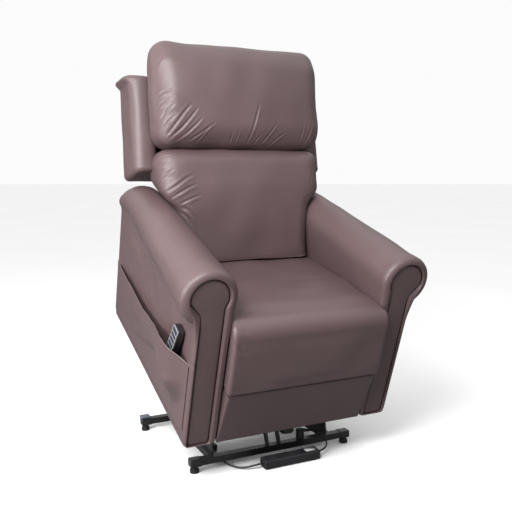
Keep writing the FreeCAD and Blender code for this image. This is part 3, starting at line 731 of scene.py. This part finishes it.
def stations(low, high, rim, spread):
    """Places from low to high, a spread apart, and closer together round the rims."""
    return np.concatenate([low + rim * (1 - np.cos(np.linspace(0, math.pi / 2, 6)))[:-1],
                           np.linspace(low + rim, high - rim, max(6, int((high - low) / spread))),
                           high - rim * (1 - np.cos(np.linspace(math.pi / 2, 0, 6)))[1:]])


def panel(name, corners_x, corners_z, y_front, thick, crown, body, *nodes, rim=7.0, fill=0.5,
          spread=8.0):
    """Flat padded panel, crowned in the middle. It faces forward, or to the rear where thick is
    negative."""
    (x0, x1), (z0, z1) = corners_x, corners_z
    xs, zs = stations(x0, x1, rim, spread), stations(z0, z1, rim, spread)
    gx, gz = np.meshgrid(xs, zs)
    from_edge = np.minimum(np.minimum(gx - x0, x1 - gx), np.minimum(gz - z0, z1 - gz))
    u, v = (gx - (x0 + x1) / 2) / (x1 - x0) * 2, (gz - (z0 + z1) / 2) / (z1 - z0) * 2
    swell = np.maximum(1 - u ** 2, 0) ** 0.6 * np.maximum(1 - v ** 2, 0) ** 0.6
    inside = np.clip(rim - from_edge, 0, rim)
    lip = rim - np.sqrt(np.maximum(rim ** 2 - inside ** 2, 0))
    way = 1 if thick > 0 else -1
    lip = np.minimum(lip, abs(thick) * 0.8)
    flat = np.stack([gx, gx * 0, gz], -1)
    ripple = 0.5 * soft_noise(flat / 140) * swell
    y = y_front + way * (lip - crown * swell - ripple)
    front = np.stack([gx, y, gz], -1)
    back = np.stack([gx, np.full_like(gx, y_front + thick), gz], -1)
    n, m = gx.shape
    verts = np.vstack([front.reshape(-1, 3), back.reshape(-1, 3)])
    index = np.arange(n * m).reshape(n, m)
    rear = index + n * m
    faces = np.stack([index[:-1, :-1], index[1:, :-1], index[1:, 1:], index[:-1, 1:]],
                     -1).reshape(-1, 4).tolist()
    faces += np.stack([rear[:-1, :-1], rear[:-1, 1:], rear[1:, 1:], rear[1:, :-1]],
                      -1).reshape(-1, 4).tolist()
    loop = np.concatenate([index[0, :-1], index[:-1, -1], index[-1, :0:-1], index[:0:-1, 0]])
    outer = loop + n * m
    faces += [[a, b, c, d] for a, b, c, d in zip(loop, np.roll(loop, -1), np.roll(outer, -1),
                                                 outer)]
    obj = tidy(new_object(name, place(verts), faces))
    finished(obj, body, *nodes)
    return obj


VALANCE_FRONT, VALANCE_THICK, VALANCE_TALL = -38, 44, 196


def leg_rest_valance():
    """Panel below the leg rest's pad; its face leans back towards its foot."""
    obj = panel("leg_rest_valance", (-260, 260), (1, 194), VALANCE_FRONT, VALANCE_THICK, 2.0,
                "leg_rest", "leg_lower_panel", rim=5.5)
    co = unplace(points_of(obj))
    rear = VALANCE_FRONT + VALANCE_THICK
    lean = -VALANCE_FRONT * (1 - co[:, 2] / VALANCE_TALL)
    co[:, 1] += lean * (rear - co[:, 1]) / VALANCE_THICK
    set_points(obj, place(co))


# ---- arms ---------------------------------------------------------------------------------------
ARM_OUTER, ARM_INNER, ARM_DEPTH = 369.0, 261.0, 848.0
ARM_TOP = [(-20, 588), (0, 588), (690, 588), (735, 583), (775, 571), (810, 552), (836, 530),
           (848, 498)]  # (y, z) along its depth
ARM_CROWN, ROLL_FOOT = 588, 421  # z of the arm's top at the front, and of the roll's lower side
ROLL_NARROWING = 22.0 / ARM_DEPTH  # of the roll's radius, per mm of depth
ARM_REAR, REAR_EDGE = 834, 13  # where the rear edge starts to round, and its radius
FRONT_EDGE = 20.0
SLOPE_LOW, SLOPE_COUNT = 380.0, 26  # z where the roll's inner side meets the stem, points to it
BORDER_SEAM = 291  # z of the seam round the left arm's front edge


def smoothed(loop, sigma):
    """Gaussian smoothing of a closed loop, sigma in points."""
    n = len(loop)
    reach = int(4 * sigma)
    kernel = np.exp(-0.5 * (np.arange(-reach, reach + 1) / sigma) ** 2)
    kernel /= kernel.sum()
    out = np.zeros_like(loop)
    for k, weight in zip(range(-reach, reach + 1), kernel):
        out += weight * np.roll(loop, k, axis=0)
    return out


COUNTS = (12, 66, 150, 70, 12)  # points on the bottom, outer side, roll, inner side, bottom


def on_circle(cx, cz, r, angle):
    return (cx + r * math.cos(angle), cz + r * math.sin(angle))


def roll_span(cx, cz, r, start, end):
    """Points round a roll, up to its last angle and without it."""
    return np.array([on_circle(cx, cz, r, a)
                     for a in np.linspace(start, end, COUNTS[2], endpoint=False)])


def keyhole(outer_x, inner_x, cx, cz, r, low):
    """Closed section (x, z) of an arm: roll over a stem."""
    a0 = -math.acos(np.clip((outer_x - cx) / r, -1, 1))
    a1 = math.pi + 0.12
    foot, top_in = on_circle(cx, cz, r, a0), on_circle(cx, cz, r, a1)
    slope_end = (inner_x, SLOPE_LOW)
    middle = (outer_x + inner_x) / 2
    spans = [
        np.linspace((middle, low), (outer_x, low), COUNTS[0], endpoint=False),
        np.linspace((outer_x, low), foot, COUNTS[1], endpoint=False),
        roll_span(cx, cz, r, a0, a1),
        np.linspace(top_in, slope_end, SLOPE_COUNT, endpoint=False),
        np.linspace(slope_end, (inner_x, low), COUNTS[3] - SLOPE_COUNT, endpoint=False),
        np.linspace((inner_x, low), (middle, low), COUNTS[4], endpoint=False),
    ]
    return smoothed(np.vstack(spans), 2.0)


def inset_keyhole(shrink=0.0):
    """The inset panel on the front: roll with a slanting neck into the stem."""
    cx, cz, r = 334.0, 503.0, 60.0 - shrink
    outer_x, inner_x, low = 356.0 - shrink, 284.0 + shrink, 2.0 + shrink
    a0 = math.radians(-14)
    a1 = math.pi + math.acos((cx - inner_x) / r)
    tip, top_in = on_circle(cx, cz, r, a0), on_circle(cx, cz, r, a1)
    elbow = (outer_x, 446.0)
    stem = np.linspace((outer_x, low), elbow, 52, endpoint=False)
    neck = np.linspace(elbow, tip, 14, endpoint=False)
    middle = (outer_x + inner_x) / 2
    spans = [
        np.linspace((middle, low), (outer_x, low), COUNTS[0], endpoint=False), stem, neck,
        roll_span(cx, cz, r, a0, a1),
        np.linspace(top_in, (inner_x, low), COUNTS[3], endpoint=False),
        np.linspace((inner_x, low), (middle, low), COUNTS[4], endpoint=False),
    ]
    return smoothed(np.vstack(spans), 1.2)


def arm_top(y):
    """Height of the arm's top along its depth."""
    return np.interp(y, *zip(*ARM_TOP))


def arm_section(y):
    """The arm's section (x, z) at a depth, its roll lowered towards the rear."""
    narrower = ROLL_NARROWING * y
    loop = keyhole(ARM_OUTER, ARM_INNER, 334 - narrower, 500 + narrower, 87 - narrower, 1.0)
    factor = (arm_top(y) - ROLL_FOOT) / (ARM_CROWN - ROLL_FOOT)
    lowered = ROLL_FOOT + (loop[:, 1] - ROLL_FOOT) * factor
    loop[:, 1] = np.where(loop[:, 1] > ROLL_FOOT, lowered, loop[:, 1])
    return loop


def offset_loop(loop, distance):
    """Pull a closed loop inwards."""
    ahead = np.roll(loop, -2, 0) - np.roll(loop, 2, 0)
    ahead /= np.maximum(np.linalg.norm(ahead, axis=1), 1e-9)[:, None]
    inward = np.stack([-ahead[:, 1], ahead[:, 0]], -1)
    area2 = np.sum(loop[:, 0] * np.roll(loop[:, 1], -1) - np.roll(loop[:, 0], -1) * loop[:, 1])
    return smoothed(loop + inward * distance * np.sign(area2), 1.5)


ARM_FOLDS = [
    ([(694, 424), (676, 400), (660, 372)], 6.0, 2.6),
    ([(660, 424), (646, 396), (632, 376)], 5.0, 2.2),
    ([(606, 424), (590, 396), (566, 352)], 6.0, 3.0),
    ([(640, 420), (622, 396), (612, 372)], 5.0, 2.2),
    ([(574, 424), (556, 396), (540, 372)], 5.0, 1.8),
    ([(724, 426), (714, 398)], 5.0, 1.6),
    ([(780, 300), (700, 262), (600, 236)], 9.0, 1.4),
]
SIDES = {1: "right", -1: "left"}  # as the viewer sees them


def arm(side):
    """One upholstered arm; side is 1 or -1."""
    rows = []
    front, inset = arm_section(0), inset_keyhole()
    for depth in (13.5, 9.0, 5.5):
        rows.append(np.column_stack([inset[:, 0], np.full(len(inset), depth), inset[:, 1]]))
    tight = step(300 - front[:, 0], 0, 30) * (1 - step(front[:, 1], 400, 470))
    edge, share = FRONT_EDGE - 12 * tight, 0.62 - 0.3 * tight
    for w in np.linspace(1.0, 0.0, 15):
        loop = front * (1 - w) + inset * w
        u = np.clip(1 - w / share, 0, 1)
        y = edge * (1 - np.sqrt(1 - u ** 2)) - 1.5 + 5.5 * step(w, 0.72, 1.0)
        rows.append(np.column_stack([loop[:, 0], y, loop[:, 1]]))
    for y in np.concatenate([np.linspace(FRONT_EDGE + 3, 690, 130),
                             np.linspace(695, ARM_REAR, 28)]):
        loop = arm_section(y)
        rows.append(np.column_stack([loop[:, 0], np.full(len(loop), y), loop[:, 1]]))
    last = arm_section(ARM_REAR)
    for angle in np.radians([15, 30, 45, 60, 75, 90]):
        pulled = offset_loop(last, REAR_EDGE * (1 - math.cos(angle)))
        pulled[:, 1] = np.minimum(pulled[:, 1], 540)
        y = ARM_REAR + REAR_EDGE * math.sin(angle)
        rows.append(np.column_stack([pulled[:, 0], np.full(len(last), y), pulled[:, 1]]))
    rows = np.asarray(rows)
    rows[:, :, 0] *= side
    obj = lofted(f"arm_cover_{SIDES[side]}", rows)
    co = unplace(points_of(obj))
    x, y, z = co[:, 0] * side, co[:, 1], co[:, 2]
    roll = step(z, 430, 480) * step(y, 20, 60)
    height = 1.0 * soft_noise(co / 170 + 3 * side) * roll
    outside = step(x, 350, 364) * (1 - step(z, 425, 440))
    outside = outside * step(y, 40, 90) * (1 - step(y, 800, 840))
    height += 0.8 * soft_noise(co / 120 - 7) * outside * step(z, 290, 350)
    for line, width, depth in ARM_FOLDS:
        height += fold(co[:, 1:], line, width, depth) * outside
    border = step(x, 346, 352) * (1 - step(y, 18, 30))
    height -= 2.2 * np.exp(-((z - BORDER_SEAM) / 4.5) ** 2) * border * (side < 0)
    push(obj, height)
    finished(obj, "chair", f"arm_{SIDES[side]}")


def arm_front(side):
    """Inset panel on the front of an arm, lightly padded."""
    outer = inset_keyhole(0.8)
    rows = []
    for w in np.linspace(0, 1, 9):
        angle = w * math.pi / 2
        loop = offset_loop(outer, 8 * (1 - math.cos(angle))) if w else outer
        y = 12.5 - 9.5 * math.sin(angle)
        rows.append(np.column_stack([loop[:, 0], np.full(len(loop), y), loop[:, 1]]))
    rows.insert(0, np.column_stack([outer[:, 0], np.full(len(outer), 13.5), outer[:, 1]]))
    rows = np.asarray(rows)
    rows[:, :, 0] *= side
    obj = lofted(f"arm_inset_{SIDES[side]}", rows)
    finished(obj, "chair", f"arm_front_{SIDES[side]}")


# ---- side pocket --------------------------------------------------------------------------------
POCKET_PLAN = [(18, -366.5), (30, -369.5), (46, -379), (66, -396), (88, -413), (116, -418.5),
               (156, -417.5), (220, -404), (300, -394), (500, -389), (700, -385), (770, -377),
               (806, -370), (842, -366.5)]
POCKET_EDGE = [(18, 281), (30, 279), (46, 286), (66, 296), (88, 305), (117, 308), (156, 304),
               (184, 296), (220, 284), (300, 265), (420, 254), (520, 252), (670, 254), (770, 246),
               (842, 240)]
POCKET_FOLD = [(60, 231), (198, 186), (360, 133), (545, 76), (730, 33)]
POCKET_LOW = 30.0
POCKET_SKIN, POCKET_LINING = -369.6, -369.2  # x of its two walls where it lies on the arm
LINING_MOST, SKIN_LEAST = -368.6, -369.9  # x that the lining and the creased skin stop at
REST_Y = 119.0  # middle of the ledge that the handset stands on


def pocket_bulge(y, z, out, z_top):
    """How far the pocket stands out from the arm's side at a place."""
    crease = np.interp(y, *zip(*POCKET_FOLD))
    at_rest = math.exp(-((y - REST_Y) / 105) ** 2)
    full = z_top - 25 - at_rest * (z_top - 25 - 197)
    flush = max(crease - 34 - 100 * at_rest, POCKET_LOW)
    return out * step(z, flush, full)


def side_pocket():
    """Pocket on the left arm: a skin, a rolled top edge and a lining."""
    ys = np.concatenate([np.linspace(18, 170, 54), np.linspace(176, 842, 110)])
    plan = np.interp(ys, *zip(*POCKET_PLAN))
    plan = np.convolve(np.pad(plan, 3, mode="edge"), np.ones(7) / 7, "valid")
    edge = np.interp(ys, *zip(*POCKET_EDGE))
    edge = np.convolve(np.pad(edge, 6, mode="edge"), np.ones(13) / 13, "valid")
    bead = 2.4
    rows = []
    for y, x_top, z_top in zip(ys, plan, edge):
        out = max(0.0, -ARM_OUTER - x_top)
        base_x = POCKET_SKIN + min(1.6, max(0.0, x_top + ARM_OUTER))
        outer = [(base_x - pocket_bulge(y, z, out, z_top), y, z)
                 for z in np.linspace(POCKET_LOW, z_top, 60)]
        lip = [(base_x - out + bead * (0.4 - math.cos(a)), y, z_top + bead * math.sin(a))
               for a in np.radians(np.linspace(-30, 210, 12))]
        wall = min(3.2, out * 0.5 + 0.2)
        inner = [(min(POCKET_LINING - pocket_bulge(y, z, out, z_top) + wall, LINING_MOST), y, z)
                 for z in np.linspace(z_top - 4, POCKET_LOW + 6, 50)]
        rows.append(outer + lip + inner)
    obj = lofted("pocket_cover", np.asarray(rows), wrap=True)
    co = unplace(points_of(obj))
    x, y, z = co.T
    flat = co[:, 1:]
    loose = step(y, 30, 90) * (1 - step(y, 780, 835))
    height = 3.0 * fold(flat, POCKET_FOLD, 15, 1, 0.8)
    height += fold(flat, [(760, 196), (700, 150), (640, 110)], 9, 1.6)
    height += fold(flat, [(700, 205), (650, 170), (610, 140)], 9, 1.6)
    height += 1.1 * soft_noise(np.stack([x * 0, y, z], -1) / 110 + 11)
    proud = step(-x, 369, 376)
    co[:, 0] -= height * loose * (0.25 + 0.75 * proud)
    sunk = (x < -369.3) & (co[:, 0] > SKIN_LEAST)
    co[:, 0] = np.where(sunk, np.minimum(x, SKIN_LEAST), co[:, 0])
    set_points(obj, place(co))
    finished(obj, "chair", "side_pocket")


# ---- back shell ---------------------------------------------------------------------------------
SHELL_LOW, SHELL_TOP = 15.0, 18.0  # radii of the shell's lower and upper edges
SHELL_INNER, SHELL_OUTER = 284, 371  # x of the wings' two sides
LOW_FOOT, LOW_TOP, LOW_EDGE = 40, 340, 7  # s of the lower panel's ends, and their radius


def back_shell():
    """Padded shell behind the cushions with its two wings, one U-shaped skin."""
    rows = []
    steps = [(0.0, SHELL_LOW * (1 - math.sin(a)), SHELL_LOW * (1 - math.cos(a)))
             for a in np.linspace(0, math.pi / 2, 7)]
    steps += [(v, 0.0, 0.0) for v in np.linspace(0.06, 0.93, 58)]
    steps += [(1.0, SHELL_TOP * (1 - math.sin(a)), -SHELL_TOP * (1 - math.cos(a)))
              for a in np.linspace(math.pi / 2, 0, 8)]
    for v, pull, lift in steps:
        front, rear = -64 + 20 * v, 120 - 14 * v
        wing = [(SHELL_OUTER, rear, 24), (SHELL_OUTER, front, 40), (SHELL_INNER, front, 40),
                (SHELL_INNER, 40, 12)]
        corners = [(-x, t, r) for x, t, r in wing[::-1]] + wing
        ring = resampled(rounded_profile(corners, 12), count=340)
        s_low = 360 - (ring[:, 1] + 52) / 170 * 16
        s_high = 702 + (ring[:, 1] + 30) / 140 * 12
        if pull:
            ring = offset_loop(ring, pull)
        s = s_low + (s_high - s_low) * v + lift
        flare = step(s, 668, 706)
        outward = step(np.abs(ring[:, 0]), 335, SHELL_OUTER)
        x = ring[:, 0] + np.sign(ring[:, 0]) * 15 * flare * outward
        t = ring[:, 1] + 24 * flare * step(ring[:, 1], 40, rear)
        rows.append(np.column_stack([x, t, s]))
    obj = lofted("back_cover", from_back(np.asarray(rows)))
    co = to_back(unplace(points_of(obj)))
    x, t, s = co.T
    behind = step(t, 80, 100)
    height = behind * (7 * np.cos(np.clip(x / 372, -1, 1) * math.pi / 2)
                       * np.sin(np.clip((s - 350) / 360, 0, 1) * math.pi))
    height += 0.9 * soft_noise(co / 150 + 2)
    outer = step(np.abs(x), 355, 366)
    height += outer * fold(co[:, 1:], [(60, 335), (50, 400), (34, 520), (18, 640), (8, 712)], 4.0,
                           2.2, 0.9)
    height += outer * fold(co[:, 1:], [(86, 340), (84, 500), (84, 664)], 3.5, 1.0, 0.6)
    for edge in (-318, 318):
        seam = [(edge, 330), (edge, 500), (edge, 700)]
        height += behind * fold(co[:, [0, 2]], seam, 3.0, 1.6, 0.5)
    push(obj, height)
    finished(obj, "back", "back_shell")


def back_low_cover():
    """Padded panel that closes the lower back behind the lumbar cushion."""
    rows = []
    tall = LOW_TOP - LOW_FOOT
    for s in np.concatenate([LOW_FOOT + LOW_EDGE * (1 - np.cos(np.linspace(0, math.pi / 2, 5))),
                             np.linspace(54, 326, 30),
                             LOW_TOP - LOW_EDGE * (1 - np.cos(np.linspace(math.pi / 2, 0, 5)))]):
        pull = rounded_end(min(s - LOW_FOOT, LOW_TOP - s), LOW_EDGE)
        rear = 51 + (s - LOW_FOOT) * 34 / tall
        half = 243 - pull
        swell = 5 * math.sin(math.pi * (s - LOW_FOOT) / tall)
        xs = np.linspace(-half, half, 60)
        crown = np.maximum(1 - (xs / half) ** 2, 0) ** 0.5
        outer = [(x, rear - pull - 6 + (6 + swell) * c, s) for x, c in zip(xs, crown)]
        inner = [(x, 47, s) for x in xs[::-1]]
        rows.append(outer + inner)
    obj = lofted("back_low_cover", from_back(np.asarray(rows)))
    finished(obj, "back", "back_lower_panel")


PLATE_Z, PLATE_THICK = 33.15, 0.25


def supply_label():
    """Blank rating plate on the power supply."""
    corners = rounded_profile([(86, -83, 3), (122, -83, 3), (122, -61, 3), (86, -61, 3)], 6)
    top = [(x, y + BASE_SHIFT, PLATE_Z + PLATE_THICK) for x, y in corners]
    low = [(x, y + BASE_SHIFT, PLATE_Z) for x, y in corners]
    n = len(corners)
    faces = [list(range(n)), list(range(2 * n - 1, n - 1, -1))]
    faces += [[i, (i + 1) % n, n + (i + 1) % n, n + i] for i in range(n)]
    obj = tidy(new_object("supply_plate", np.asarray(top + low) / 1000, faces))
    finished(obj, "base", mat=LABEL, slot="bright_steel")


# ---- make everything ----------------------------------------------------------------------------
camera()
dress_nodes()
lead("lead_left_cable", LEAD_LEFT)
lead("lead_right_cable", LEAD_RIGHT)
studio()

head_cushion()
lumbar_cushion()
chaise_pad()
seat_core()
leg_rest_valance()
for name, across in (("front_flange_right", (246, 262.5)), ("front_flange_left", (-262.5, -246))):
    panel(name, across, (2, 330), 12, 12, 0.5, "chair", rim=3.0, spread=4.0)
for side in (1, -1):
    arm(side)
    arm_front(side)
side_pocket()
back_shell()
back_low_cover()
supply_label()
panel("rear_valance", (-261, 261), (2, 232), 849, -14, 3, "chair", "rear_skirt")
